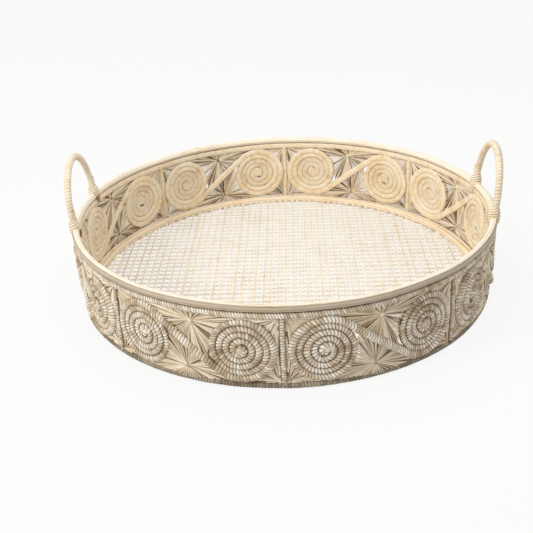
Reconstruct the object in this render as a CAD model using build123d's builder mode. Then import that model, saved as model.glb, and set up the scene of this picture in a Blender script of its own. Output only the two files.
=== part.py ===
from build123d import *
import os
from math import asin, cos, degrees, radians, sin

# A round open tray basket: wire hoops, posts, S scrolls and handles, each wrapped in palm straw,
# a wall of open straw stars between the scrolls, and a woven straw floor.
# Millimetres, +Z up. The origin is on the basket's axis at the underside of the base hoop.
# The front is at -Y. A bay is the stretch of wall between two posts, drawn as seen from outside.

os.makedirs("parts", exist_ok=True)

# Driving dimensions
rim_diameter = 460.0  # over the outside of the upper rim hoop
rim_height = 90.0  # ground to the top of the rim
handle_height = 152.0  # ground to the top of each handle
bay_count = 8  # as many posts, and as many scrolls
rim_cord = 8.0  # thickness of the upper rim hoop
lower_rim_cord = 6.6  # thickness of the hoop just below it
base_width = 7.0  # radial width of the base hoop
base_depth = 8.0  # height of the base hoop
base_round = 2.4  # rounding of its edges
base_inset = 2.5  # how far the base stands in from the rim
floor_cord = 8.0  # thickness of the hoop that holds the floor
post_cord = 5.6  # thickness of a post
scroll_cord = 5.9  # width of the scroll's cord, seen from outside
scroll_pitch = 6.4  # from one turn of a volute to the next
half_turns = 9  # in each volute
wall_depth = 5.6  # thickness of the scrolls, through the wall
star_depth = 2.0  # thickness of the straw stars and corner fans
star_bundles = 9  # bundles of straw that cross at a star's knot
star_knot = 4.0  # radius of the tie where they cross
star_rise = 25.0  # from the middle of the wall up, or down, to the knot
star_aside = 3.0  # from the middle of the bay to the knot
fan_bundles = 9  # bundles of straw that cross at the corner of a fan
fan_knot = 3.0
bundle_width = 2.2
wire = 2.8  # in the hoops and handles
post_wire = 2.0
scroll_wire = 1.6  # square in section
slack = 0.2  # by which a bore is wider than its wire
gap = 0.4  # between a star or fan and what surrounds it
warp_pitch = 8.2  # floor strips that run front to back
warp_width = 3.0
weft_pitch = 7.0  # floor strips that run side to side
weft_width = 2.6
strip_depth = 1.2  # thickness of each of the floor's two layers
handle_span = 98.0  # between the middles of a handle's two feet
handle_cord = 7.6
handle_lean = 6.5  # degrees outwards
handle_seat = 1.5  # how far its feet straddle the rim hoop
lashing_width = 13.0  # over the binding round a handle's foot and the rim hoops
lashing_end = 8.6  # its width at its top and bottom
lashing_height = 23.0
lashing_hollow = 2.4  # left open inside it, where the two rim hoops touch

# Places worked out from them
hoop_radius = (rim_diameter - rim_cord) / 2
rim_level = rim_height - rim_cord / 2
lower_rim_level = rim_height - rim_cord - lower_rim_cord / 2
wall_top = lower_rim_level - lower_rim_cord / 2
base_outer = rim_diameter / 2 - base_inset
floor_radius = base_outer - base_width - floor_cord / 2 - slack
floor_edge = floor_radius - floor_cord / 2 - slack
floor_level = floor_cord / 2 + slack
wall_radius = hoop_radius - slack
bay_angle = 360 / bay_count
post_x = wall_radius * sin(radians(bay_angle / 2))
cell_half = post_x - post_cord / 2 - gap
cell_bottom = base_depth + gap
cell_height = wall_top - gap - cell_bottom
cell_middle = cell_bottom + cell_height / 2
volute_radius = cell_height / 2
volute_x = cell_half - volute_radius - gap
turn_radius = volute_radius - scroll_cord / 2
bar_angle = degrees(asin(turn_radius / volute_x))
handle_foot = hoop_radius * cos(asin(handle_span / 2 / hoop_radius))
handle_rise = handle_height - rim_height - handle_cord / 2
cut_depth = 20.0  # either side of the wall's middle, for outlines cut through it
front = Plane.XZ.offset(wall_radius - cut_depth)


# A round ring about the basket's axis, with a bore for its wire, or solid
def ring(radius, level, thickness, bore=0.0):
    with BuildPart() as body:
        with BuildSketch(Plane.XZ):
            with Locations((radius, level)):
                Circle(thickness / 2)
                if bore:
                    Circle(bore / 2, mode=Mode.SUBTRACT)
        revolve(axis=Axis.Z)
    return body


# A flat outline at the front of the basket, cut through the wall and as thick as given
def cut_from_wall(outline, depth):
    with BuildPart() as shell:
        with BuildSketch():
            Circle(wall_radius + depth / 2)
            Circle(wall_radius - depth / 2, mode=Mode.SUBTRACT)
        extrude(amount=rim_height)
    with BuildPart() as body:
        extrude(outline.sketch, amount=2 * cut_depth)
        add(shell.part, mode=Mode.INTERSECT)
    return body


# Upper rim hoop
rim_hoop = ring(hoop_radius, rim_level, rim_cord, wire + slack)
rim_hoop.part.label = "rim_hoop"
export_step(rim_hoop.part, "parts/rim_hoop.step")

rim_wire = ring(hoop_radius, rim_level, wire)
rim_wire.part.label = "rim_wire"
export_step(rim_wire.part, "parts/rim_wire.step")

# Second hoop, close under the rim
lower_rim_hoop = ring(hoop_radius, lower_rim_level, lower_rim_cord, wire + slack)
lower_rim_hoop.part.label = "lower_rim_hoop"
export_step(lower_rim_hoop.part, "parts/lower_rim_hoop.step")

lower_rim_wire = ring(hoop_radius, lower_rim_level, wire)
lower_rim_wire.part.label = "lower_rim_wire"
export_step(lower_rim_wire.part, "parts/lower_rim_wire.step")

# Base hoop: it rests flat on the ground, and its edges are rounded
with BuildPart() as base_hoop:
    with BuildSketch(Plane.XZ):
        with Locations((base_outer - base_width / 2, base_depth / 2)):
            RectangleRounded(base_width, base_depth, base_round)
            Circle((wire + slack) / 2, mode=Mode.SUBTRACT)
    revolve(axis=Axis.Z)
base_hoop.part.label = "base_hoop"
export_step(base_hoop.part, "parts/base_hoop.step")

base_wire = ring(base_outer - base_width / 2, base_depth / 2, wire)
base_wire.part.label = "base_wire"
export_step(base_wire.part, "parts/base_wire.step")

# Hoop inside the base, which the floor is woven onto
floor_hoop = ring(floor_radius, floor_level, floor_cord, wire + slack)
floor_hoop.part.label = "floor_hoop"
export_step(floor_hoop.part, "parts/floor_hoop.step")

floor_wire = ring(floor_radius, floor_level, wire)
floor_wire.part.label = "floor_wire"
export_step(floor_wire.part, "parts/floor_wire.step")


# One layer of the floor: parallel strips that end in a narrow edge band
def floor_layer(pitch, width, turn, level):
    count = 2 * int((floor_edge - width) / pitch) + 1
    with BuildPart() as layer:
        with BuildSketch(Plane.XY.offset(level).rotated((0, 0, turn))):
            Circle(floor_edge)
            Circle(floor_edge - width, mode=Mode.SUBTRACT)
            with GridLocations(pitch, 1, count, 1):
                Rectangle(width, 2 * floor_edge)
            Circle(floor_edge, mode=Mode.INTERSECT)
        extrude(amount=strip_depth)
    return layer


floor_warp = floor_layer(warp_pitch, warp_width, 0, floor_level - strip_depth)
floor_warp.part.label = "floor_warp"
export_step(floor_warp.part, "parts/floor_warp.step")

floor_weft = floor_layer(weft_pitch, weft_width, 90, floor_level)
floor_weft.part.label = "floor_weft"
export_step(floor_weft.part, "parts/floor_weft.step")

# Posts between the base hoop and the lower rim hoop, each round a straight wire
with BuildPart() as post:
    with BuildSketch(Plane.XY.offset(base_depth)):
        with Locations((0, -wall_radius)):
            Circle(post_cord / 2)
            Circle((post_wire + slack) / 2, mode=Mode.SUBTRACT)
    extrude(amount=wall_top - base_depth)

for number in range(bay_count):
    with BuildPart() as turned_post:
        add(post.part, rotation=(0, 0, number * bay_angle))
    turned_post.part.label = f"post_{number + 1}"
    export_step(turned_post.part, f"parts/post_{number + 1}.step")

with BuildPart() as post_wires:
    with BuildSketch(Plane.XY.offset(base_depth)):
        with PolarLocations(wall_radius, bay_count):
            Circle(post_wire / 2)
    extrude(amount=wall_top - base_depth)
post_wires.part.label = "post_wires"
export_step(post_wires.part, "parts/post_wires.step")


# The line of an S scroll: two volutes of half circles, each half a pitch tighter than the last,
# joined by a straight bar that runs from the top of the left one to the bottom of the right one
def scroll_line():
    with BuildLine() as line:
        ends = []
        for side in (-1, 1):
            start = 90 - bar_angle if side < 0 else 270 - bar_angle
            outward = Vector(cos(radians(start)), sin(radians(start)))
            middle = Vector(side * volute_x, cell_middle)
            ends.append(middle + outward * turn_radius)
            for turn in range(half_turns):
                centre = middle - outward * (scroll_pitch / 2 * (turn % 2))
                radius = turn_radius - turn * scroll_pitch / 2
                CenterArc(centre, radius, start + 180 * (turn % 2), 180)
        Line(ends[0], ends[1])
    return line


def scroll_outline(width):
    with BuildSketch(front) as outline:
        with BuildLine():
            add(scroll_line().line)
            offset(amount=width / 2, mode=Mode.REPLACE)
        make_face()
    return outline


with BuildPart() as scroll:
    add(cut_from_wall(scroll_outline(scroll_cord), wall_depth).part)
    add(cut_from_wall(scroll_outline(scroll_wire + slack), scroll_wire + slack).part, mode=Mode.SUBTRACT)

scroll_core = cut_from_wall(scroll_outline(scroll_wire), scroll_wire)

for number in range(bay_count):
    with BuildPart() as turned_scroll:
        add(scroll.part, rotation=(0, 0, (number + 0.5) * bay_angle))
    turned_scroll.part.label = f"scroll_{number + 1}"
    export_step(turned_scroll.part, f"parts/scroll_{number + 1}.step")

with BuildPart() as scroll_wires:
    for number in range(bay_count):
        add(scroll_core.part, rotation=(0, 0, (number + 0.5) * bay_angle))
scroll_wires.part.label = "scroll_wires"
export_step(scroll_wires.part, "parts/scroll_wires.step")

# What a scroll leaves open in its bay: a large gap above its bar, one below, and four corners
with BuildSketch(front) as open_wall:
    with Locations((0, cell_middle)):
        Rectangle(2 * cell_half, cell_height)
        Rectangle(2 * volute_x, scroll_cord + 2 * gap, rotation=-bar_angle, mode=Mode.SUBTRACT)
    with Locations((-volute_x, cell_middle), (volute_x, cell_middle)):
        Circle(volute_radius + gap, mode=Mode.SUBTRACT)
openings = open_wall.sketch.faces().sort_by(SortBy.AREA)
large_gaps = openings[-2:].sort_by(Axis.Z)
left_corners = openings[:-2].sort_by(Axis.X)[:2].sort_by(Axis.Z)


# Bundles of straw that cross at a tied knot and end at the edges of the opening
def bundles_in(opening, knot, knot_radius, count):
    with BuildSketch(front) as outline:
        with Locations(knot):
            Circle(knot_radius)
            with PolarLocations(0, count, angular_range=180, endpoint=False):
                Rectangle(4 * volute_radius, bundle_width)
        add(opening, mode=Mode.INTERSECT)
    return cut_from_wall(outline, star_depth).part.solids().sort_by(SortBy.VOLUME)[-1]


# Straw stars above and below each scroll's bar
lower_star = bundles_in(large_gaps[0], (-star_aside, cell_middle - star_rise), star_knot, star_bundles)
upper_star = bundles_in(large_gaps[1], (star_aside, cell_middle + star_rise), star_knot, star_bundles)

for number in range(bay_count):
    with BuildPart() as turned_star:
        add(lower_star, rotation=(0, 0, (number + 0.5) * bay_angle))
    turned_star.part.label = f"lower_star_{number + 1}"
    export_step(turned_star.part, f"parts/lower_star_{number + 1}.step")
    with BuildPart() as turned_star:
        add(upper_star, rotation=(0, 0, (number + 0.5) * bay_angle))
    turned_star.part.label = f"upper_star_{number + 1}"
    export_step(turned_star.part, f"parts/upper_star_{number + 1}.step")

# Small fans in the four corners between each post, the hoops and the volutes beside it
corner_x = -cell_half + fan_knot / 2
lower_fan = bundles_in(left_corners[0], (corner_x, cell_bottom + fan_knot / 2), fan_knot, fan_bundles)
upper_fan = bundles_in(left_corners[1], (corner_x, cell_bottom + cell_height - fan_knot / 2), fan_knot, fan_bundles)
with BuildPart() as fans_beside_post:
    add([lower_fan, upper_fan], rotation=(0, 0, bay_angle / 2))
    mirror(about=Plane.YZ)

for number in range(bay_count):
    with BuildPart() as corner_fans:
        add(fans_beside_post.part, rotation=(0, 0, number * bay_angle))
    corner_fans.part.label = f"corner_fans_{number + 1}"
    export_step(corner_fans.part, f"parts/corner_fans_{number + 1}.step")

# Handles: an arch on the rim at each side, leaning a little outwards
arch = Plane(
    origin=(handle_foot, 0, rim_height),
    x_dir=(0, 1, 0),
    z_dir=(cos(radians(handle_lean)), 0, -sin(radians(handle_lean))),
)
arch_centre = handle_rise / cos(radians(handle_lean)) - handle_span / 2


# A tube along a handle's arch, cut to sit astride the rim hoop
def arch_tube(thickness, bore=0.0):
    with BuildPart() as tube:
        with BuildLine(arch):
            leg = Line((-handle_span / 2, -handle_seat), (-handle_span / 2, arch_centre))
            over = CenterArc((0, arch_centre), handle_span / 2, 180, -180)
            Line(over @ 1, (handle_span / 2, -handle_seat))
        with BuildSketch(Plane(origin=leg @ 0, z_dir=leg % 0)):
            Circle(thickness / 2)
            if bore:
                Circle(bore / 2, mode=Mode.SUBTRACT)
        sweep()
        add(ring(hoop_radius, rim_level, rim_cord).part, mode=Mode.SUBTRACT)
    return tube


handle = arch_tube(handle_cord, wire + slack)
handle_core = arch_tube(wire)

# Bindings: a barrel of straw at each foot, round the foot and both rim hoops
with BuildPart() as lashings:
    for side in (-1, 1):
        foot = Vector(handle_foot, side * handle_span / 2, wall_top + gap)
        with BuildSketch(Plane(origin=foot, x_dir=(1, 0, 0), z_dir=(0, -1, 0))):
            with BuildLine():
                Polyline((lashing_end / 2, 0), (0, 0), (0, lashing_height), (lashing_end / 2, lashing_height))
                ThreePointArc(
                    (lashing_end / 2, lashing_height),
                    (lashing_width / 2, lashing_height / 2),
                    (lashing_end / 2, 0),
                )
            make_face()
        revolve(axis=Axis(foot, (0, 0, 1)))
    add(ring(hoop_radius, rim_level, rim_cord).part, mode=Mode.SUBTRACT)
    add(ring(hoop_radius, lower_rim_level, lower_rim_cord).part, mode=Mode.SUBTRACT)
    add(ring(hoop_radius, rim_height - rim_cord, lashing_hollow).part, mode=Mode.SUBTRACT)
    add(arch_tube(handle_cord).part, mode=Mode.SUBTRACT)

for side, turn in (("right", 0), ("left", 180)):
    with BuildPart() as turned_handle:
        add(handle.part, rotation=(0, 0, turn))
    turned_handle.part.label = f"{side}_handle"
    export_step(turned_handle.part, f"parts/{side}_handle.step")
    with BuildPart() as turned_wire:
        add(handle_core.part, rotation=(0, 0, turn))
    turned_wire.part.label = f"{side}_handle_wire"
    export_step(turned_wire.part, f"parts/{side}_handle_wire.step")
    with BuildPart() as turned_lashings:
        add(lashings.part, rotation=(0, 0, turn))
    turned_lashings.part.label = f"{side}_handle_lashings"
    export_step(turned_lashings.part, f"parts/{side}_handle_lashings.step")
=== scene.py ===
import bpy
import bmesh
import math
import random
from mathutils import Matrix, Vector, noise


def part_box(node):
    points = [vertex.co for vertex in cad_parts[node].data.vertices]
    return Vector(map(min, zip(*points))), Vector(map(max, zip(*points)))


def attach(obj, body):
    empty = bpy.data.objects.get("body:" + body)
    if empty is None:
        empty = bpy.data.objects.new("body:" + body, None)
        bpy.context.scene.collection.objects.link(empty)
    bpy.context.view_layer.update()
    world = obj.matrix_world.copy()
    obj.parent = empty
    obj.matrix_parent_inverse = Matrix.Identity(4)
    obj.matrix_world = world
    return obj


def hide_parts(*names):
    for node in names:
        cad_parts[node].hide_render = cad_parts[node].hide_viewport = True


# Tray basket of wire wrapped in palm straw. Metres, front at -Y, a bay is the wall between two posts.
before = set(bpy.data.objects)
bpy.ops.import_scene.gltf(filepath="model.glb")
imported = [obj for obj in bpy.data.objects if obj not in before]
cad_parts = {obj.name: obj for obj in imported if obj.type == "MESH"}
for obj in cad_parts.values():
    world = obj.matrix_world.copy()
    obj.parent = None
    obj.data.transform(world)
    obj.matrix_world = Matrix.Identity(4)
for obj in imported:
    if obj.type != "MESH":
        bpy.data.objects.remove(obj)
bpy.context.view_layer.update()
noise.seed_set(11)
millimetre = 0.001
bayCount = 8
bayAngle = math.tau / bayCount

# Places that the frame gives
rimLow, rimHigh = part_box("rim_hoop")
lowerLow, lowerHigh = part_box("lower_rim_hoop")
baseLow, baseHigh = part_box("base_hoop")
floorLow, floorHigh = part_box("floor_hoop")
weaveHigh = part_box("floor_warp")[1]
postLow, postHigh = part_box("post_1")
scrollLow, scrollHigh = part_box("scroll_1")
gripLow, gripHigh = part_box("right_handle")
bindLow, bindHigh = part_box("right_handle_lashings")
wallRadius = -(postLow.y + postHigh.y) / 2
hoopRadius = rimHigh.x - (rimHigh.z - rimLow.z) / 2
wallBottom, wallTop = scrollLow.z, scrollHigh.z
print("frame loaded, rim radius", round(rimHigh.x, 4))

# Values of the scrolls, shared by the stars and fans that fill in around them. Inside the basket a
# volute is recessed from ringTurns in, relief raises and lowers its turns by turns, and a ball, the
# eye, closes its middle. The bar between the volutes swells, and the cord's tips are thinner
scroll = {
    "cord": 7.0 * millimetre,
    "cadCord": 5.9 * millimetre,
    "gap": 0.4 * millimetre,
    "pitch": 6.4 * millimetre,
    "halfTurns": 9,
    "eyeTurns": 1,
    "wrap": 3.2 * millimetre,
    "groove": 0.55 * millimetre,
    "stepsPerHalf": 22,
    "insideDepth": 3.2 * millimetre,
    "insideRecess": 1.2 * millimetre,
    "ringTurns": 1.35,
    "recessRate": 5,
    "relief": 0.2,
    "pressing": 0.16,
    "barSwell": 0.26,
    "barShare": 0.14,
    "tipScale": 0.7,
    "tipGrowth": 22,
    "eye": 4.2 * millimetre,
    "eyeDepth": 0.7,
    "eyeShade": (0.25, 0),
}
voluteRadius = (wallTop - wallBottom) / 2
bayMiddle = (wallTop + wallBottom) / 2
cellHalf = wallRadius * math.sin(bayAngle / 2) - (postHigh.x - postLow.x) / 2 - scroll["gap"]
voluteX = cellHalf - voluteRadius - scroll["gap"]
turnRadius = voluteRadius - scroll["cadCord"] / 2
barAngle = math.asin(turnRadius / voluteX)


def addObject(name, mesh):
    piece = bpy.data.objects.new(name, mesh)
    bpy.context.scene.collection.objects.link(piece)
    return piece


def meshFrom(name, work):
    mesh = bpy.data.meshes.new(name)
    work.to_mesh(mesh)
    work.free()
    return mesh


# A point of the bay, flat as drawn, laid on the round wall: x along the wall, y inwards, z up
def onWall(place):
    radius = wallRadius - place.y
    return Vector((place.x, -math.sqrt(radius * radius - place.x * place.x), place.z))


# The slow waver of handwork, the same field for every piece, so that neighbours stay together
handmade = {"size": 0.07, "amount": 0.8 * millimetre, "fadeBelow": 0.03, "shift": (3.7, 1.9, 5.3)}


def waver(place):
    soft = min(1.0, max(0.0, place.z) / handmade["fadeBelow"])
    drift = noise.noise_vector(place / handmade["size"])
    return Vector((drift.x, drift.y, drift.z * soft)) * handmade["amount"]


# Small unevenness of the straw itself, by kind of piece: how much, over what distance, and the seed
# of the first piece
unevenness = {
    "scroll": (0.3 * millimetre, 4 * millimetre, 1),
    "hoop": (0.25 * millimetre, 6 * millimetre, 20),
    "post": (0.3 * millimetre, 4 * millimetre, 40),
    "star": (0.15 * millimetre, 5 * millimetre, 60),
    "fan": (0.15 * millimetre, 5 * millimetre, 80),
    "handle": (0.2 * millimetre, 4 * millimetre, 100),
    "warp": (0.35 * millimetre, 14 * millimetre, 120),
    "weft": (0.3 * millimetre, 9 * millimetre, 121),
}


# That unevenness, added to the slow waver. Each place keeps its depth inside the radius given, for
# the material
def settle(mesh, kind, number, radius=0.0):
    fine, grain, firstSeed = unevenness[kind]
    shift = Vector([(firstSeed + number) * share for share in handmade["shift"]])
    depths = [radius - math.hypot(vert.co.x, vert.co.y) for vert in mesh.vertices]
    mesh.attributes.new("depth", "FLOAT", "POINT").data.foreach_set("value", depths)
    for vert in mesh.vertices:
        small = noise.noise_vector(vert.co / grain + shift) * fine
        vert.co = vert.co + waver(vert.co) + small
    mesh.polygons.foreach_set("use_smooth", [True] * len(mesh.polygons))
    mesh.update()


def finishPiece(piece, node, material):
    piece.data.materials.clear()
    piece.data.materials.append(material)
    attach(piece, "root")
    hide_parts(node)


# How round a cord's ridges and strands are, and how close places are joined between turns and at a
# closed hoop's seam
winding = {"ridge": 0.55, "strand": 0.5, "join": 0.01 * millimetre, "seam": 0.04 * millimetre}


# A line through the places given, for a cord to follow
def pathLine(name, places, closed):
    data = bpy.data.curves.new(name, "CURVE")
    data.dimensions = "3D"
    data.twist_mode = "MINIMUM"
    spline = data.splines.new("POLY")
    spline.points.add(len(places) - 1)
    for index, place in enumerate(places):
        spline.points[index].co = (*place, 1)
    spline.use_cyclic_u = closed
    line = bpy.data.objects.new(name, data)
    bpy.context.scene.collection.objects.link(line)
    return line, spline.calc_length()


# One turn of straw round a cord along X: the ridges' outline, screwed once round
def wrapTurn(cord, step):
    sides, starts, parts = cord["sides"], cord["starts"], cord["parts"]
    pitch = step / starts
    work = bmesh.new()
    outline = []
    for index in range(starts * parts + 1):
        height = math.sin(math.pi * (index % parts) / parts) ** winding["ridge"] if index % parts else 0
        radius = cord["thickness"] / 2 - cord["groove"] * (1 - height)
        outline.append(work.verts.new((index * pitch / parts, 0, radius)))
    edges = [work.edges.new(pair) for pair in zip(outline, outline[1:])]
    bmesh.ops.spin(work, geom=outline + edges, cent=(0, 0, 0), axis=(1, 0, 0), dvec=(step / sides, 0, 0),
                   angle=math.tau, steps=sides, use_merge=False)
    places = work.loops.layers.uv.new("cord")
    for face in work.faces:
        middle = face.calc_center_median()
        around = math.atan2(-middle.y, middle.z) % math.tau
        for loop in face.loops:
            spot = loop.vert.co
            turn = math.atan2(-spot.y, spot.z) - around
            here = around + (turn + math.pi) % math.tau - math.pi
            loop[places].uv = (spot.x / step - here / math.tau, here / math.tau)
    if "strands" in cord:
        for vert in work.verts:
            angle = math.atan2(-vert.co.y, vert.co.z)
            crest = abs(math.sin(cord["strands"] * angle / 2)) ** winding["strand"]
            inset = cord["strandGroove"] * (1 - crest)
            shrink = 1 - inset / math.hypot(vert.co.y, vert.co.z)
            vert.co = (vert.co.x, vert.co.y * shrink, vert.co.z * shrink)
    return meshFrom("wrapTurn", work)


# The turns repeated along a line, joined, and closed at the ends. The shape, if given, sets the
# cord's radius from its place along the cord, 0 to 1, and its radius there so far
def wrappedCord(name, cord, places, closed, shape=None):
    line, length = pathLine(name + "Line", places, closed)
    count = round(length / (cord["wrap"] * cord["starts"]))
    step = length / count
    source = addObject(name + "Turn", wrapTurn(cord, step))
    turns = source.modifiers.new("turns", "ARRAY")
    turns.fit_type = "FIXED_COUNT"
    turns.count = count
    turns.use_relative_offset = False
    turns.use_constant_offset = True
    turns.constant_offset_displace = (step, 0, 0)
    turns.use_merge_vertices = True
    turns.merge_threshold = winding["join"]
    turns.offset_u = 1
    source = evaluated(source)
    if shape:
        for vert in source.data.vertices:
            radius = math.hypot(vert.co.y, vert.co.z)
            scale = shape(min(1.0, max(0.0, vert.co.x / length)), radius) / radius
            vert.co = (vert.co.x, vert.co.y * scale, vert.co.z * scale)
    follow = source.modifiers.new("follow", "CURVE")
    follow.object = line
    follow.deform_axis = "POS_X"
    source = evaluated(source)
    work = bmesh.new()
    work.from_mesh(source.data)
    bpy.data.objects.remove(source)
    bpy.data.objects.remove(line)
    if closed:
        bmesh.ops.remove_doubles(work, verts=work.verts, dist=winding["seam"])
    bmesh.ops.holes_fill(work, edges=[edge for edge in work.edges if edge.is_boundary], sides=0)
    bmesh.ops.recalc_face_normals(work, faces=work.faces)
    return meshFrom(name, work)


# The object with its modifiers made real
def evaluated(source):
    mesh = bpy.data.meshes.new_from_object(source.evaluated_get(bpy.context.evaluated_depsgraph_get()))
    made = addObject(source.name + "Made", mesh)
    bpy.data.objects.remove(source)
    return made


def straightPlaces(low, high, steps=12):
    return [low.lerp(high, step / steps) for step in range(steps + 1)]


def ringPlaces(radius, height, count=180):
    angles = [math.tau * index / count for index in range(count)]
    return [Vector((radius * math.sin(angle), -radius * math.cos(angle), height)) for angle in angles]


# Materials
def newMaterial(name, roughness, sheen):
    material = bpy.data.materials.new(name)
    material.use_nodes = True
    shader = material.node_tree.nodes["Principled BSDF"]
    shader.inputs["Roughness"].default_value = roughness
    shader.inputs["Specular IOR Level"].default_value = 0.3
    shader.inputs["Sheen Weight"].default_value = sheen
    shader.inputs["Sheen Roughness"].default_value = 0.6
    return material, material.node_tree, shader


def addNode(tree, kind, **settings):
    node = tree.nodes.new(kind)
    for key, value in settings.items():
        setattr(node, key, value)
    return node


def colourRamp(tree, source, stops):
    ramp = tree.nodes.new("ShaderNodeValToRGB")
    while len(ramp.color_ramp.elements) < len(stops):
        ramp.color_ramp.elements.new(0.5)
    for element, (place, colour) in zip(ramp.color_ramp.elements, stops):
        element.position = place
        element.color = (*colour, 1)
    tree.links.new(source, ramp.inputs["Fac"])
    return ramp.outputs["Color"]


def mixColour(tree, kind, factor, first, second):
    mix = tree.nodes.new("ShaderNodeMix")
    mix.data_type = "RGBA"
    mix.blend_type = kind
    mix.clamp_factor = True
    if isinstance(factor, float):
        mix.inputs["Factor"].default_value = factor
    else:
        tree.links.new(factor, mix.inputs["Factor"])
    tree.links.new(first, mix.inputs["A"])
    tree.links.new(second, mix.inputs["B"])
    return mix.outputs["Result"]


def mathNode(tree, operation, *values):
    node = addNode(tree, "ShaderNodeMath", operation=operation)
    for index, value in enumerate(values):
        if isinstance(value, (int, float)):
            node.inputs[index].default_value = value
        else:
            tree.links.new(value, node.inputs[index])
    return node.outputs[0]


def noiseNode(tree, vector, scale, detail=3, rough=0.6, stretch=None):
    node = addNode(tree, "ShaderNodeTexNoise")
    node.inputs["Scale"].default_value = scale
    node.inputs["Detail"].default_value = detail
    node.inputs["Roughness"].default_value = rough
    if stretch:
        mapping = tree.nodes.new("ShaderNodeMapping")
        mapping.inputs["Scale"].default_value = stretch
        tree.links.new(vector, mapping.inputs["Vector"])
        vector = mapping.outputs["Vector"]
    tree.links.new(vector, node.inputs["Vector"])
    return node.outputs["Fac"]


def plainColour(tree, colour):
    node = tree.nodes.new("ShaderNodeRGB")
    node.outputs[0].default_value = (*colour, 1)
    return node.outputs[0]


# The sum of two values, each times its share
def weighted(tree, first, second):
    return mathNode(tree, "ADD", mathNode(tree, "MULTIPLY", *first), mathNode(tree, "MULTIPLY", *second))


def addBump(tree, shader, height, strength, distance):
    bump = tree.nodes.new("ShaderNodeBump")
    bump.inputs["Strength"].default_value = strength
    bump.inputs["Distance"].default_value = distance
    tree.links.new(height, bump.inputs["Height"])
    tree.links.new(bump.outputs["Normal"], shader.inputs["Normal"])


# Straw wound round a cord: each turn its own shade, fine fibres along the turn, painted shade in the grooves.
# The outside of the basket is browner than the inside and darker by painted shade, and on the wall the
# crevices between cords get painted shade
wrappedLook = {
    # Outside tones are darker than the inside ones: browner straw, and painted shade on the outer wall
    "outside": ((0.42, 0.31, 0.19), (0.71, 0.60, 0.44), (0.97, 0.92, 0.81)),
    "inside": ((0.88, 0.68, 0.43), (0.95, 0.81, 0.58), (0.97, 0.88, 0.70)),
    # groove: the colour of the painted shade in the grooves and in the wall's crevices
    "groove": (0.15, 0.10, 0.06),
    "stain": (0.50, 0.29, 0.12),
    "tones": (0.34, 0.46, 0.60),
    "turnShare": 0.16,
    "fibreShare": 0.6,
    "stainShare": 0.5,
    # How strong the painted shade is in the grooves, on the wall and inside, and in the wall's crevices
    "grooveShadeShare": 0.8,
    "wallGrooveShade": 0.88,
    "insideFade": 0.7,
    "insideLit": 0.9,
    "creviceShade": 0.85,
    "roughness": 0.62,
    "sheen": 0.08,
    "fibreBump": 0.3,
    "fibreDepth": 0.4 * millimetre,
}
wallEdge = {"insideRate": 1500.0, "middle": 1.0 * millimetre, "proudRate": 620.0}


# How far a place is inside the wall's middle, and how far from it either way, 0 to 1
def wallSides(tree, offset=0.0):
    kept = addNode(tree, "ShaderNodeAttribute", attribute_name="depth").outputs["Fac"]
    depth = mathNode(tree, "ADD", kept, offset)
    inside = mathNode(tree, "MULTIPLY", depth, wallEdge["insideRate"])
    inside.node.use_clamp = True
    away = mathNode(tree, "SUBTRACT", mathNode(tree, "ABSOLUTE", depth), wallEdge["middle"])
    proud = mathNode(tree, "MULTIPLY", away, wallEdge["proudRate"])
    proud.node.use_clamp = True
    return inside, proud


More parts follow.
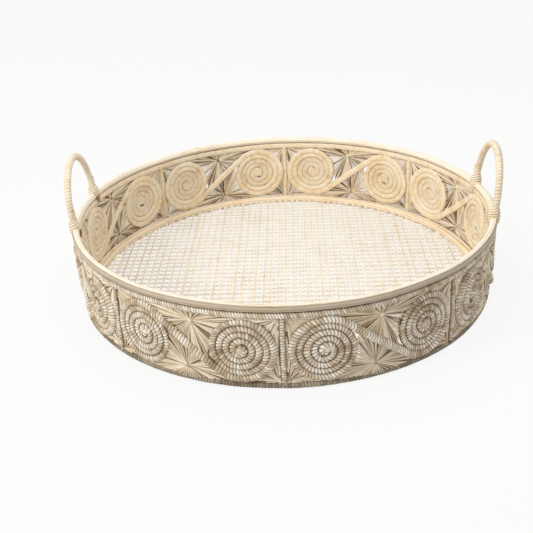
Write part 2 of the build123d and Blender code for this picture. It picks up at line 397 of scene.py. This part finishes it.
def wrappedMaterial(name, look, starts, onWall=False):
    material, tree, shader = newMaterial(name, look["roughness"], look["sheen"])
    cordPlace = addNode(tree, "ShaderNodeUVMap", uv_map="cord").outputs["UV"]
    objectPlace = tree.nodes.new("ShaderNodeTexCoord").outputs["Object"]
    parts = tree.nodes.new("ShaderNodeSeparateXYZ")
    tree.links.new(cordPlace, parts.inputs["Vector"])
    turns = mathNode(tree, "MULTIPLY", parts.outputs["X"], starts)
    inTurn = mathNode(tree, "FRACT", turns)
    turnShade = addNode(tree, "ShaderNodeTexWhiteNoise", noise_dimensions="1D")
    tree.links.new(mathNode(tree, "FLOOR", turns), turnShade.inputs["W"])
    patches = noiseNode(tree, objectPlace, 34, 5, 0.7)
    fibres = noiseNode(tree, cordPlace, 3.0, 3, 0.6, (4.0 * starts, 2.0, 1))
    shade = weighted(tree, (turnShade.outputs["Value"], look["turnShare"]), (patches, 1 - look["turnShare"]))
    body = colourRamp(tree, shade, list(zip(look["tones"], look["inside"])))
    if onWall:
        inside, proud = wallSides(tree)
        # The wall's outer side takes the darker tones, painted shade as well as browner straw
        outer = colourRamp(tree, shade, list(zip(look["tones"], look["outside"])))
        body = mixColour(tree, "MIX", inside, outer, body)
        # Painted shade in the crevices: places near the wall's middle are darkened, less so inside
        lit = mathNode(tree, "MAXIMUM", proud, mathNode(tree, "MULTIPLY", inside, look["insideLit"]))
        creviceShade = mathNode(tree, "MULTIPLY", mathNode(tree, "SUBTRACT", 1.0, lit), look["creviceShade"])
    fibreTone = colourRamp(tree, fibres, [(0.32, (0.66, 0.58, 0.50)), (0.6, (1, 1, 1))])
    body = mixColour(tree, "MULTIPLY", look["fibreShare"], body, fibreTone)
    spots = noiseNode(tree, objectPlace, 75, 3, 0.6)
    stains = colourRamp(tree, spots, [(0.60, (0, 0, 0)), (0.74, (1, 1, 1))])
    stained = mathNode(tree, "MULTIPLY", stains, look["stainShare"])
    body = mixColour(tree, "MIX", stained, body, plainColour(tree, look["stain"]))
    # Painted shade in the grooves between turns and, on the wall, in the crevices between cords
    dark = plainColour(tree, look["groove"])
    valley = mathNode(tree, "ABSOLUTE", mathNode(tree, "SUBTRACT", inTurn, 0.5))
    depth = colourRamp(tree, valley, [(0.26, (0, 0, 0)), (0.5, (1, 1, 1))])
    strength = look["grooveShadeShare"]
    if onWall:
        faded = mathNode(tree, "MULTIPLY", inside, look["insideFade"])
        strength = mathNode(tree, "SUBTRACT", look["wallGrooveShade"], faded)
    body = mixColour(tree, "MIX", mathNode(tree, "MULTIPLY", depth, strength), body, dark)
    if onWall:
        body = mixColour(tree, "MIX", creviceShade, body, dark)
    tree.links.new(body, shader.inputs["Base Color"])
    addBump(tree, shader, fibres, look["fibreBump"], look["fibreDepth"])
    return material


smoothLook = {
    "tones": (0.34, 0.45, 0.58),
    "patchShare": 0.45,
    "seam": (0.62, 0.50, 0.38),
    # Painted shade: its colour, its share, and how far out from the wall's middle it starts
    "paintedShade": (0.50, 0.45, 0.39),
    "paintedShadeShare": 0.85,
    "paintedShadeStarts": 2.4 * millimetre,
    "belowRate": 500.0,
    "roughness": 0.55,
    "sheen": 0.08,
    "bump": 0.35,
    "bumpDepth": 0.5 * millimetre,
}


# Smooth straw laid along a hoop, with long fibres, dark seams between its strands and, if asked,
# painted shade on its outer side and below a height
def smoothMaterial(name, look, strands, shadeOutside=False, shadeBelow=0.0):
    material, tree, shader = newMaterial(name, smoothLook["roughness"], smoothLook["sheen"])
    cordPlace = addNode(tree, "ShaderNodeUVMap", uv_map="cord").outputs["UV"]
    objectPlace = tree.nodes.new("ShaderNodeTexCoord").outputs["Object"]
    patches = noiseNode(tree, objectPlace, 24, 4, 0.7)
    fibres = noiseNode(tree, cordPlace, 1.0, 4, 0.65, (0.35, 16.0, 1))
    share = smoothLook["patchShare"]
    shade = weighted(tree, (patches, share), (fibres, 1 - share))
    body = colourRamp(tree, shade, list(zip(smoothLook["tones"], look)))
    parts = tree.nodes.new("ShaderNodeSeparateXYZ")
    tree.links.new(cordPlace, parts.inputs["Vector"])
    inStrand = mathNode(tree, "FRACT", mathNode(tree, "MULTIPLY", parts.outputs["Y"], strands))
    fromMiddle = mathNode(tree, "ABSOLUTE", mathNode(tree, "SUBTRACT", inStrand, 0.5))
    seams = colourRamp(tree, fromMiddle, [(0.36, (1, 1, 1)), (0.5, smoothLook["seam"])])
    body = mixColour(tree, "MULTIPLY", 1.0, body, seams)
    # Painted shade on the hoop's outer side and below the given height
    if shadeOutside:
        inside = wallSides(tree, smoothLook["paintedShadeStarts"])[0]
        heights = tree.nodes.new("ShaderNodeSeparateXYZ")
        tree.links.new(objectPlace, heights.inputs["Vector"])
        under = mathNode(tree, "SUBTRACT", shadeBelow, heights.outputs["Z"])
        below = mathNode(tree, "MULTIPLY", under, smoothLook["belowRate"])
        below.node.use_clamp = True
        outer = mathNode(tree, "MAXIMUM", mathNode(tree, "SUBTRACT", 1.0, inside), below)
        shadeAmount = mathNode(tree, "MULTIPLY", outer, smoothLook["paintedShadeShare"])
        body = mixColour(tree, "MULTIPLY", shadeAmount, body, plainColour(tree, smoothLook["paintedShade"]))
    tree.links.new(body, shader.inputs["Base Color"])
    addBump(tree, shader, fibres, smoothLook["bump"], smoothLook["bumpDepth"])
    return material


looseLook = {
    "patchShare": 0.5,
    "strandShare": 0.25,
    "strawShare": 0.25,
    "roughness": 0.6,
    "sheen": 0.08,
    "bump": 0.25,
    "bumpDepth": 0.4 * millimetre,
}


# Straw that lies straight, in stars, fans and the floor. Some straws lie in shadow, if a tone is given
def strawMaterial(name, pale, mid, tan, shadow=None):
    material, tree, shader = newMaterial(name, looseLook["roughness"], looseLook["sheen"])
    objectPlace = tree.nodes.new("ShaderNodeTexCoord").outputs["Object"]
    patches = noiseNode(tree, objectPlace, 30, 4, 0.7)
    strands = noiseNode(tree, objectPlace, 420, 3, 0.6)
    eachStraw = tree.nodes.new("ShaderNodeNewGeometry").outputs["Random Per Island"]
    shade = weighted(tree, (patches, looseLook["patchShare"]), (strands, looseLook["strandShare"]))
    shade = mathNode(tree, "ADD", shade, mathNode(tree, "MULTIPLY", eachStraw, looseLook["strawShare"]))
    body = colourRamp(tree, shade, [(0.34, tan), (0.46, mid), (0.62, pale)])
    if shadow:
        deep = colourRamp(tree, eachStraw, [(0.14, shadow), (0.30, (1, 1, 1))])
        body = mixColour(tree, "MULTIPLY", 1.0, body, deep)
    tree.links.new(body, shader.inputs["Base Color"])
    addBump(tree, shader, strands, looseLook["bump"], looseLook["bumpDepth"])
    return material


wallStraw = wrappedMaterial("wallStraw", wrappedLook, 1, True)
scrollStraw = wrappedMaterial("scrollStraw", wrappedLook, 2, True)
# The base hoop's outside is darker still: painted shade low on the basket, by the ground
baseShadedLook = {**wrappedLook, "outside": ((0.20, 0.155, 0.10), (0.32, 0.27, 0.20), (0.46, 0.41, 0.33))}
baseShadedStraw = wrappedMaterial("baseShadedStraw", baseShadedLook, 1, True)
slantStraw = wrappedMaterial("slantStraw", wrappedLook, 3, True)
# The handle's straw, with a lighter painted shade in its grooves
gripLook = {**wrappedLook, "inside": ((0.78, 0.63, 0.43), (0.88, 0.78, 0.60), (0.93, 0.86, 0.72)),
            "groove": (0.52, 0.40, 0.27)}
gripStraw = wrappedMaterial("gripStraw", gripLook, 1)
lashStraw = wrappedMaterial("lashStraw", wrappedLook, 4)
rimTones = ((0.74, 0.59, 0.41), (0.89, 0.80, 0.64), (0.94, 0.88, 0.77))
# The rim hoop gets painted shade on its outer side and below this height
rimShadeTop = (rimLow.z + rimHigh.z) / 2 - 1.2 * millimetre
rimStraw = smoothMaterial("rimStraw", rimTones, 7, True, rimShadeTop)
bandTones = ((0.74, 0.56, 0.36), (0.84, 0.69, 0.49), (0.90, 0.78, 0.60))
bandStraw = smoothMaterial("bandStraw", bandTones, 6)
starStraw = strawMaterial("starStraw", (0.94, 0.85, 0.69), (0.78, 0.64, 0.45), (0.48, 0.34, 0.19),
                          (0.30, 0.23, 0.17))
floorStraw = strawMaterial("floorStraw", (0.91, 0.85, 0.73), (0.87, 0.78, 0.62), (0.77, 0.63, 0.44))
print("materials made")


# The scroll's line in the flat bay, from the middle of the left volute to the middle of the right one
def scrollPlaces():
    half = []
    start = math.pi / 2 - barAngle
    outward = Vector((math.cos(start), 0, math.sin(start)))
    middle = Vector((-voluteX, 0, bayMiddle))
    for turn in range(scroll["halfTurns"] + scroll["eyeTurns"]):
        centre = middle - outward * (scroll["pitch"] / 2 * (turn % 2))
        radius = turnRadius - turn * scroll["pitch"] / 2
        for step in range(scroll["stepsPerHalf"]):
            angle = start + math.pi * (turn + step / scroll["stepsPerHalf"])
            half.append(centre + Vector((math.cos(angle), 0, math.sin(angle))) * radius)
    left = half[::-1]
    right = [Vector((-place.x, 0, 2 * bayMiddle - place.z)) for place in half]
    bar = [left[-1].lerp(right[0], step / 10) for step in range(1, 10)]
    return left + bar + right


# A cord's inner side is pressed flat by the wrapping, so that its turns hardly show there
def pressedInside(depth, thickness, flatDepth):
    if depth <= 0:
        return depth
    return flatDepth * min(1.0, depth / (thickness / 2)) ** scroll["pressing"]


def scrollShape(along, radius):
    fromEnd = min(along, 1 - along)
    swell = 1 + scroll["barSwell"] * max(0.0, 1 - abs(along - 0.5) / scroll["barShare"])
    return radius * swell * min(1.0, scroll["tipScale"] + fromEnd * scroll["tipGrowth"])


def makeScrolls():
    cord = {"thickness": scroll["cord"], "wrap": scroll["wrap"], "groove": scroll["groove"],
            "starts": 2, "parts": 4, "sides": 12}
    first = wrappedCord("scroll", cord, scrollPlaces(), False, scrollShape)
    work = bmesh.new()
    work.from_mesh(first)
    places = work.loops.layers.uv["cord"]
    for side in (-1, 1):
        flatter = Matrix.Diagonal((1, scroll["eyeDepth"], 1, 1))
        eye = Matrix.Translation((side * voluteX, 0, bayMiddle)) @ flatter
        made = bmesh.ops.create_uvsphere(work, u_segments=12, v_segments=8, radius=scroll["eye"],
                                         matrix=eye)
        for face in {face for vert in made["verts"] for face in vert.link_faces}:
            for loop in face.loops:
                loop[places].uv = scroll["eyeShade"]
    work.to_mesh(first)
    work.free()
    for vert in first.vertices:
        place = vert.co
        fromMiddle = min(math.hypot(place.x - side * voluteX, place.z - bayMiddle) for side in (-1, 1))
        turnsIn = (turnRadius - fromMiddle) / scroll["pitch"]
        swell = 1 + scroll["relief"] * math.cos(math.pi * max(0.0, turnsIn))
        sunk = min(1.0, max(0.0, (turnsIn - scroll["ringTurns"]) * scroll["recessRate"]))
        flat = scroll["insideDepth"] - scroll["insideRecess"] * sunk
        place.y = pressedInside(place.y * swell, scroll["cord"], flat)
        vert.co = onWall(place)
    for number in range(bayCount):
        mesh = first.copy()
        mesh.transform(Matrix.Rotation((number + 0.5) * bayAngle, 4, "Z"))
        settle(mesh, "scroll", number, wallRadius)
        piece = addObject(f"scroll{number + 1}", mesh)
        finishPiece(piece, f"scroll_{number + 1}", scrollStraw)
    bpy.data.meshes.remove(first)
    print("scrolls wound")


# Hoops
hoops = {
    "rimHoop": {"node": "rim_hoop", "low": rimLow, "high": rimHigh, "thickness": 8.0 * millimetre,
                "wrap": 7.0 * millimetre, "groove": 0.10 * millimetre, "starts": 1, "parts": 4, "sides": 28,
                "strands": 7, "strandGroove": 0.45 * millimetre, "look": rimStraw},
    "lowerRimHoop": {"node": "lower_rim_hoop", "low": lowerLow, "high": lowerHigh,
                     "thickness": 6.8 * millimetre, "wrap": 2.7 * millimetre,
                     "groove": 0.5 * millimetre, "starts": 3, "parts": 4, "sides": 14,
                     "look": slantStraw, "insideDepth": 3.1 * millimetre},
    "baseHoop": {"node": "base_hoop", "low": baseLow, "high": baseHigh, "thickness": 7.6 * millimetre,
                 "wrap": 2.9 * millimetre, "groove": 0.6 * millimetre, "starts": 1, "parts": 4, "sides": 12,
                 "look": baseShadedStraw},
    "floorHoop": {"node": "floor_hoop", "low": floorLow, "high": floorHigh,
                  "thickness": 8.2 * millimetre, "wrap": 7.0 * millimetre,
                  "groove": 0.15 * millimetre, "starts": 1, "parts": 4, "sides": 24,
                  "strands": 6, "strandGroove": 0.3 * millimetre, "look": bandStraw},
}


def makeHoops():
    for seed, (name, hoop) in enumerate(hoops.items()):
        thick = (hoop["high"].z - hoop["low"].z) / 2
        radius = hoop["high"].x - thick
        mesh = wrappedCord(name, hoop, ringPlaces(radius, hoop["low"].z + thick), True)
        if "insideDepth" in hoop:
            for vert in mesh.vertices:
                reach = math.hypot(vert.co.x, vert.co.y)
                flat = radius - pressedInside(radius - reach, hoop["thickness"], hoop["insideDepth"])
                vert.co = (vert.co.x * flat / reach, vert.co.y * flat / reach, vert.co.z)
        settle(mesh, "hoop", seed, radius)
        finishPiece(addObject(name, mesh), hoop["node"], hoop["look"])
    print("hoops wound")


# Posts
post = {"thickness": 6.0 * millimetre, "wrap": 2.8 * millimetre, "groove": 0.55 * millimetre,
        "starts": 1, "parts": 4, "sides": 12, "sink": 2 * millimetre}


def makePosts():
    foot = Vector((0, -wallRadius, postLow.z - post["sink"]))
    head = Vector((0, -wallRadius, postHigh.z))
    first = wrappedCord("post", post, straightPlaces(foot, head), False)
    for number in range(bayCount):
        mesh = first.copy()
        mesh.transform(Matrix.Rotation(number * bayAngle, 4, "Z"))
        settle(mesh, "post", number, wallRadius)
        finishPiece(addObject(f"post{number + 1}", mesh), f"post_{number + 1}", wallStraw)
    bpy.data.meshes.remove(first)
    print("posts wound")


# Straw stars and corner fans
star = {
    "aside": 3 * millimetre,
    "rise": 25 * millimetre,
    "spacing": 0.85 * millimetre,
    "endWidth": 1.8 * millimetre,
    "knotWidth": 0.9 * millimetre,
    "flatness": 0.5,
    "knot": 2.4 * millimetre,
    "tent": 2.2 * millimetre,
    "ends": {  # how far a straw runs into what it meets, and how far it lifts there
        "volute": (7.5 * millimetre, 1.0),
        "bar": (3.0 * millimetre, 0.8),
        "hoop": (3.6 * millimetre, 0.45),
    },
    "bundle": 7,
    "gather": 0.08,
    "jitter": 0.012,
    "lifts": (0.6, 1.0),
    "widths": (0.75, 1.15),
    "knotFlatness": 0.55,
}
fan = {**star, "spacing": 0.95 * millimetre, "knot": 1.8 * millimetre, "tent": 1.5 * millimetre,
       "bundle": 4, "inset": 0.1, "overlap": 0.12}


# How far a ray from a spot in the flat bay goes before it meets something, and what it meets
def openLength(spot, angle, bar=True):
    ahead = Vector((math.cos(angle), math.sin(angle)))
    reach = []
    for side in (-1, 1):
        toCentre = Vector((side * voluteX, bayMiddle)) - spot
        along = toCentre.dot(ahead)
        apart = toCentre.length_squared - along * along
        if along > 0 and apart < voluteRadius ** 2:
            reach.append((along - math.sqrt(voluteRadius ** 2 - apart), "volute"))
    for wall, limit in ((ahead.y, wallTop - spot.y), (-ahead.y, spot.y - wallBottom),
                        (ahead.x, cellHalf - spot.x), (-ahead.x, cellHalf + spot.x)):
        if wall > 0:
            reach.append((limit / wall, "hoop"))
    if bar:
        across = Vector((math.sin(barAngle), math.cos(barAngle)))
        distance = across.dot(spot - Vector((0, bayMiddle)))
        slope = across.dot(ahead)
        if distance * slope < 0:
            reach.append(((abs(distance) - scroll["cadCord"] / 2) / abs(slope), "bar"))
    return min(reach)


# Directions from a knot that meet the edge of its opening at even spacing
def evenDirections(spot, kind, first, last, bar):
    count = 720
    chosen, walked, before = [], 0.0, None
    for index in range(count):
        angle = first + (last - first) * index / count
        end = spot + Vector((math.cos(angle), math.sin(angle))) * openLength(spot, angle, bar)[0]
        if before is not None:
            walked += min((end - before).length, kind["spacing"])
        if walked >= kind["spacing"] or before is None:
            chosen.append(angle)
            walked = 0.0
        before = end
    return chosen


# One straw: a slim cone flattened through the wall, from the knot to the edge of the opening
def layStraw(work, tail, head, tailWidth, headWidth, flatness):
    along = head - tail
    turn = along.to_track_quat("Z", "Y").to_matrix().to_4x4()
    place = Matrix.Translation((tail + head) / 2) @ turn @ Matrix.Diagonal((1, flatness, 1, 1))
    bmesh.ops.create_cone(work, cap_ends=False, segments=5, radius1=tailWidth / 2, radius2=headWidth / 2,
                          depth=along.length, matrix=place)


def layBundle(work, kind, spot, first, last, bar, seed):
    draw = random.Random(seed)
    directions = evenDirections(spot, kind, first, last, bar)
    for order, angle in enumerate(directions):
        firstOfBundle = order - order % kind["bundle"]
        middle = min(firstOfBundle + kind["bundle"] // 2, len(directions) - 1)
        angle += (directions[middle] - angle) * kind["gather"] + draw.uniform(-kind["jitter"], kind["jitter"])
        reach, met = openLength(spot, angle, bar)
        sink, lift = kind["ends"][met]
        reach += sink
        side = 1 if order % 2 else -1
        depth = side * kind["tent"] * lift * draw.uniform(*kind["lifts"])
        knotDepth = draw.uniform(-0.5, 0.5) * kind["knotWidth"]
        tail = Vector((spot.x, knotDepth, spot.y))
        head = Vector((spot.x + math.cos(angle) * reach, depth, spot.y + math.sin(angle) * reach))
        width = kind["endWidth"] * draw.uniform(*kind["widths"])
        layStraw(work, tail, head, kind["knotWidth"], width, kind["flatness"])
    knot = Matrix.Translation((spot.x, 0, spot.y)) @ Matrix.Diagonal((1, kind["knotFlatness"], 1, 1))
    bmesh.ops.create_uvsphere(work, u_segments=10, v_segments=7, radius=kind["knot"], matrix=knot)


def bendOnWall(work):
    for vert in work.verts:
        vert.co = onWall(vert.co)


def makeStars():
    for number in range(bayCount):
        for half, name in ((1, "upper"), (-1, "lower")):
            work = bmesh.new()
            spot = Vector((half * star["aside"], bayMiddle + half * star["rise"]))
            layBundle(work, star, spot, 0, math.tau, True, number * 2 + half)
            bendOnWall(work)
            mesh = meshFrom(f"{name}Star{number + 1}", work)
            mesh.transform(Matrix.Rotation((number + 0.5) * bayAngle, 4, "Z"))
            settle(mesh, "star", number)
            piece = addObject(f"{name}Star{number + 1}", mesh)
            finishPiece(piece, f"{name}_star_{number + 1}", starStraw)
    print("stars tied")


def makeFans():
    inset = fan["knot"] * fan["inset"]
    spread = math.pi / 4 + fan["overlap"]
    for number in range(bayCount):
        whole = bmesh.new()
        for side in (-1, 1):
            for up in (-1, 1):
                work = bmesh.new()
                spot = Vector((side * (cellHalf - inset), bayMiddle + up * (voluteRadius - inset)))
                inward = math.atan2(-up, -side)
                layBundle(work, fan, spot, inward - spread, inward + spread, False, number * 4 + up + side)
                bendOnWall(work)
                turned = Matrix.Rotation((number - side * 0.5) * bayAngle, 4, "Z")
                bmesh.ops.transform(work, matrix=turned, verts=work.verts)
                corner = meshFrom("corner", work)
                whole.from_mesh(corner)
                bpy.data.meshes.remove(corner)
        mesh = meshFrom(f"cornerFans{number + 1}", whole)
        settle(mesh, "fan", number)
        piece = addObject(f"cornerFans{number + 1}", mesh)
        finishPiece(piece, f"corner_fans_{number + 1}", starStraw)
    print("corner fans tied")


# Handles and the lashings round their feet
handle = {"thickness": 7.6 * millimetre, "wrap": 3.3 * millimetre, "groove": 0.5 * millimetre,
          "starts": 1, "parts": 4, "sides": 14, "lean": math.radians(6.5), "ribbedEnds": 0.30,
          "leastRibs": 0.1, "ribFade": 9, "cadThickness": 7.6 * millimetre, "footSinks": 4 * millimetre,
          "legSteps": 4, "archSteps": 32}
lashing = {"thickness": 13.4 * millimetre, "wrap": 2.6 * millimetre, "groove": 0.5 * millimetre,
           "starts": 4, "parts": 4, "sides": 18, "endRadius": 0.60, "roundness": 0.7,
           "lowIn": 0.8 * millimetre, "highOut": 1.2 * millimetre, "lowUp": 1.2 * millimetre}


# Ribs stand out on a handle's legs and fade towards its top
def handleShape(along, radius):
    fromEnd = min(along, 1 - along)
    ribs = min(1.0, max(handle["leastRibs"], (handle["ribbedEnds"] - fromEnd) * handle["ribFade"]))
    crest = handle["thickness"] / 2
    return crest - (crest - radius) * ribs


def lashingShape(along, radius):
    barrel = max(0.0, math.sin(math.pi * along)) ** lashing["roundness"]
    return radius * (lashing["endRadius"] + (1 - lashing["endRadius"]) * barrel)


def handlePlaces(span, footHeight):
    thick = handle["thickness"] / 2
    footX = math.sqrt(hoopRadius ** 2 - (span / 2) ** 2)
    rise = (gripHigh.z - thick - rimHigh.z) / math.cos(handle["lean"])
    centre = rise - span / 2
    legs, arch = handle["legSteps"], handle["archSteps"]
    flat = [Vector((-span / 2, footHeight + (centre - footHeight) * step / legs)) for step in range(legs)]
    for step in range(arch + 1):
        angle = math.pi * step / arch
        flat.append(Vector((-math.cos(angle) * span / 2, centre + math.sin(angle) * span / 2)))
    for step in range(1, legs + 1):
        flat.append(Vector((span / 2, centre + (footHeight - centre) * step / legs)))
    leanX, leanZ = math.sin(handle["lean"]), math.cos(handle["lean"])
    return [Vector((footX + place.y * leanX, place.x, rimHigh.z + place.y * leanZ)) for place in flat]


def makeHandles():
    span = gripHigh.y - gripLow.y - handle["cadThickness"]
    places = handlePlaces(span, -handle["footSinks"])
    grip = wrappedCord("handle", handle, places, False, handleShape)
    barrels = bmesh.new()
    for foot in (places[0], places[-1]):
        low = Vector((foot.x - lashing["lowIn"], foot.y, bindLow.z + lashing["lowUp"]))
        high = Vector((foot.x + lashing["highOut"], foot.y, bindHigh.z))
        barrel = wrappedCord("lashing", lashing, straightPlaces(low, high), False, lashingShape)
        barrels.from_mesh(barrel)
        bpy.data.meshes.remove(barrel)
    bound = meshFrom("lashings", barrels)
    for seed, (side, turn) in enumerate((("right", 0), ("left", math.pi))):
        for source, name, node, look in ((grip, "Handle", "handle", gripStraw),
                                         (bound, "HandleLashings", "handle_lashings", lashStraw)):
            mesh = source.copy()
            mesh.transform(Matrix.Rotation(turn, 4, "Z"))
            settle(mesh, "handle", seed)
            finishPiece(addObject(side + name, mesh), f"{side}_{node}", look)
    print("handles bound")


# Floor
weave = {
    "warpPitch": 8.2 * millimetre,
    "warpStraws": 3,
    "strawWidth": 1.1 * millimetre,
    "strawDepth": 0.6,
    "weftPitch": 9.8 * millimetre,
    "weftWidth": 1.45 * millimetre,
    "weftDepth": 0.3,
    "weftRise": 0.55 * millimetre,
    "slope": 0.36,
    "arcSteps": 4,
    "sides": 5,
    "warpSides": 6,
    "warpSway": 0.5 * millimetre,
    "fineSway": 0.25 * millimetre,
    "extraChance": 0.18,
    "overlap": 0.86,
    "longEdge": 20 * millimetre,
    "cuts": 36,
    "edgeSink": 1.5 * millimetre,
}
weaveRadius = weaveHigh.x + weave["edgeSink"]
weaveLevel = weaveHigh.z - 0.2 * millimetre


def chord(offset):
    return math.sqrt(max(0.0, weaveRadius ** 2 - offset ** 2))


def makeWarp():
    draw = random.Random(5)
    work = bmesh.new()
    lying = Matrix.Rotation(math.pi / 2, 4, "X")
    flat = Matrix.Diagonal((1, weave["strawDepth"], 1, 1))
    columns = int(weaveHigh.x / weave["warpPitch"])
    for column in range(-columns, columns + 1):
        centre = column * weave["warpPitch"] + draw.uniform(-1, 1) * weave["warpSway"]
        count = weave["warpStraws"] + (1 if draw.random() < weave["extraChance"] else 0)
        for straw in range(count):
            x = centre + (straw - (count - 1) / 2) * weave["strawWidth"] * weave["overlap"]
            reach = chord(x)
            place = Matrix.Translation((x, 0, weaveLevel + draw.uniform(-1, 1) * weave["fineSway"]))
            bmesh.ops.create_cone(work, cap_ends=False, segments=weave["warpSides"],
                                  radius1=weave["strawWidth"] / 2, radius2=weave["strawWidth"] / 2,
                                  depth=2 * reach, matrix=place @ lying @ flat)
    long = [edge for edge in work.edges if edge.calc_length() > weave["longEdge"]]
    bmesh.ops.subdivide_edges(work, edges=long, cuts=weave["cuts"])
    mesh = meshFrom("floorWarp", work)
    settle(mesh, "warp", 0)
    finishPiece(addObject("floorWarp", mesh), "floor_warp", floorStraw)


# One stitch of the twined row: a strand arched over a bundle, and its partner under it
def weftStitch():
    work = bmesh.new()
    half = weave["warpPitch"] / 2
    for over in (1, -1):
        arc = bmesh.new()
        narrow = weave["weftDepth"] * half / weave["weftRise"]
        band = Matrix.Translation((-half, 0, 0)) @ Matrix.Diagonal((narrow, 1, 1, 1))
        made = bmesh.ops.create_circle(arc, segments=weave["sides"], radius=weave["weftWidth"] / 2,
                                       matrix=band)
        bmesh.ops.spin(arc, geom=made["verts"] + arc.edges[:], cent=(0, 0, 0), axis=(0, 1, 0),
                       angle=math.pi, steps=weave["arcSteps"])
        squash = Matrix.Diagonal((1, 1, over * weave["weftRise"] / half, 1))
        lean = Matrix.Shear("XZ", 4, (0, 0))
        lean[1][0] = weave["slope"] * over
        bmesh.ops.transform(arc, matrix=lean @ squash, verts=arc.verts)
        part = meshFrom("stitchHalf", arc)
        work.from_mesh(part)
        bpy.data.meshes.remove(part)
    bmesh.ops.recalc_face_normals(work, faces=work.faces)
    return meshFrom("stitch", work)


def makeWeft():
    draw = random.Random(9)
    stitch = weftStitch()
    work = bmesh.new()
    rows = int(weaveHigh.x / weave["weftPitch"])
    for row in range(-rows, rows + 1):
        y = row * weave["weftPitch"]
        count = int((chord(y) + weave["warpPitch"] / 2) / weave["warpPitch"])
        for column in range(-count, count + 1):
            swayed = y + draw.uniform(-1, 1) * weave["fineSway"]
            place = Vector((column * weave["warpPitch"], swayed, weaveLevel))
            stitch.transform(Matrix.Translation(place))
            work.from_mesh(stitch)
            stitch.transform(Matrix.Translation(-place))
    bpy.data.meshes.remove(stitch)
    mesh = meshFrom("floorWeft", work)
    settle(mesh, "weft", 0)
    finishPiece(addObject("floorWeft", mesh), "floor_weft", floorStraw)
    print("floor woven")


# The wires keep the frame's own shape, and get a look
wireLook = {
    "roughness": 0.45,
    "metallic": 0.9,
    "rust": ((0.42, (0.20, 0.18, 0.17)), (0.62, (0.34, 0.22, 0.14))),
}


def dressWires():
    material, tree, shader = newMaterial("coreWire", wireLook["roughness"], 0)
    shader.inputs["Metallic"].default_value = wireLook["metallic"]
    rust = noiseNode(tree, tree.nodes.new("ShaderNodeTexCoord").outputs["Object"], 90, 4, 0.7)
    tree.links.new(colourRamp(tree, rust, wireLook["rust"]), shader.inputs["Base Color"])
    for name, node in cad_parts.items():
        if "wire" in name:
            for slotIndex in range(len(node.material_slots)):
                node.material_slots[slotIndex].material = material


# Stage, lights and camera
view = {
    "lens": 57.5,
    "sensor": 36,
    "place": (-0.0935, -3.7789, 1.9804),  # in rim radii
    "pitch": 0.4718,
    "roll": 0.0461,
    "turn": math.radians(2.5),  # round the basket, so that its front post stands a little left
}


studio = {
    "ambient": 0.70,
    "groundGlow": 0.88,
    "groundSize": 6,
    "groundColour": (0.8, 0.78, 0.75),
    "groundRoughness": 0.9,
    "groundSpecular": 0.1,
    "lights": {
        "overhead": {"place": (-0.02, 0.0, 0.50), "aim": (-0.02, 0.02, 0), "size": 0.40, "power": 0.92,
                     "colour": (1.0, 0.98, 0.95)},
        "leftSide": {"place": (-1.5, -1.0, 1.25), "aim": (0, 0, 0.05), "size": 0.5, "power": 18.5,
                     "colour": (1.0, 0.97, 0.93)},
    },
}


def makeCamera():
    data = bpy.data.cameras.new("camera")
    data.lens = view["lens"]
    data.sensor_width = view["sensor"]
    camera = bpy.data.objects.new("camera", data)
    bpy.context.scene.collection.objects.link(camera)
    turn = Matrix.Rotation(view["turn"], 4, "Z")
    tilt = Matrix.Rotation(math.pi / 2 - view["pitch"], 4, "X")
    roll = Matrix.Rotation(-view["roll"], 4, "Z")
    place = Matrix.Translation(Vector(view["place"]) * rimHigh.x)
    camera.matrix_world = turn @ place @ tilt @ roll
    bpy.context.scene.camera = camera


def areaLight(name, place, aim, size, power, colour):
    data = bpy.data.lights.new(name, "AREA")
    data.shape = "DISK"
    data.size = size
    data.energy = power
    data.color = colour
    light = bpy.data.objects.new(name, data)
    bpy.context.scene.collection.objects.link(light)
    light.location = place
    light.rotation_euler = (Vector(aim) - Vector(place)).to_track_quat("-Z", "Y").to_euler()


def makeStage():
    work = bmesh.new()
    bmesh.ops.create_grid(work, x_segments=1, y_segments=1, size=studio["groundSize"])
    ground = addObject("ground", meshFrom("ground", work))
    material, tree, shader = newMaterial("ground", studio["groundRoughness"], 0)
    shader.inputs["Base Color"].default_value = (*studio["groundColour"], 1)
    shader.inputs["Specular IOR Level"].default_value = studio["groundSpecular"]
    glow = tree.nodes.new("ShaderNodeEmission")
    mix = tree.nodes.new("ShaderNodeMixShader")
    seen = tree.nodes.new("ShaderNodeLightPath").outputs["Is Camera Ray"]
    tree.links.new(mathNode(tree, "MULTIPLY", seen, studio["groundGlow"]), mix.inputs["Fac"])
    tree.links.new(shader.outputs["BSDF"], mix.inputs[1])
    tree.links.new(glow.outputs["Emission"], mix.inputs[2])
    tree.links.new(mix.outputs["Shader"], tree.nodes["Material Output"].inputs["Surface"])
    ground.data.materials.append(material)
    world = bpy.data.worlds.new("studio")
    world.use_nodes = True
    world.node_tree.nodes["Background"].inputs["Color"].default_value = (1, 1, 1, 1)
    world.node_tree.nodes["Background"].inputs["Strength"].default_value = studio["ambient"]
    bpy.context.scene.world = world
    bpy.context.scene.view_settings.view_transform = "Standard"
    for name, light in studio["lights"].items():
        areaLight(name, **light)
    print("stage, lights and camera set")


makeCamera()
makeScrolls()
makeHoops()
makePosts()
makeStars()
makeFans()
makeHandles()
makeWarp()
makeWeft()
dressWires()
makeStage()
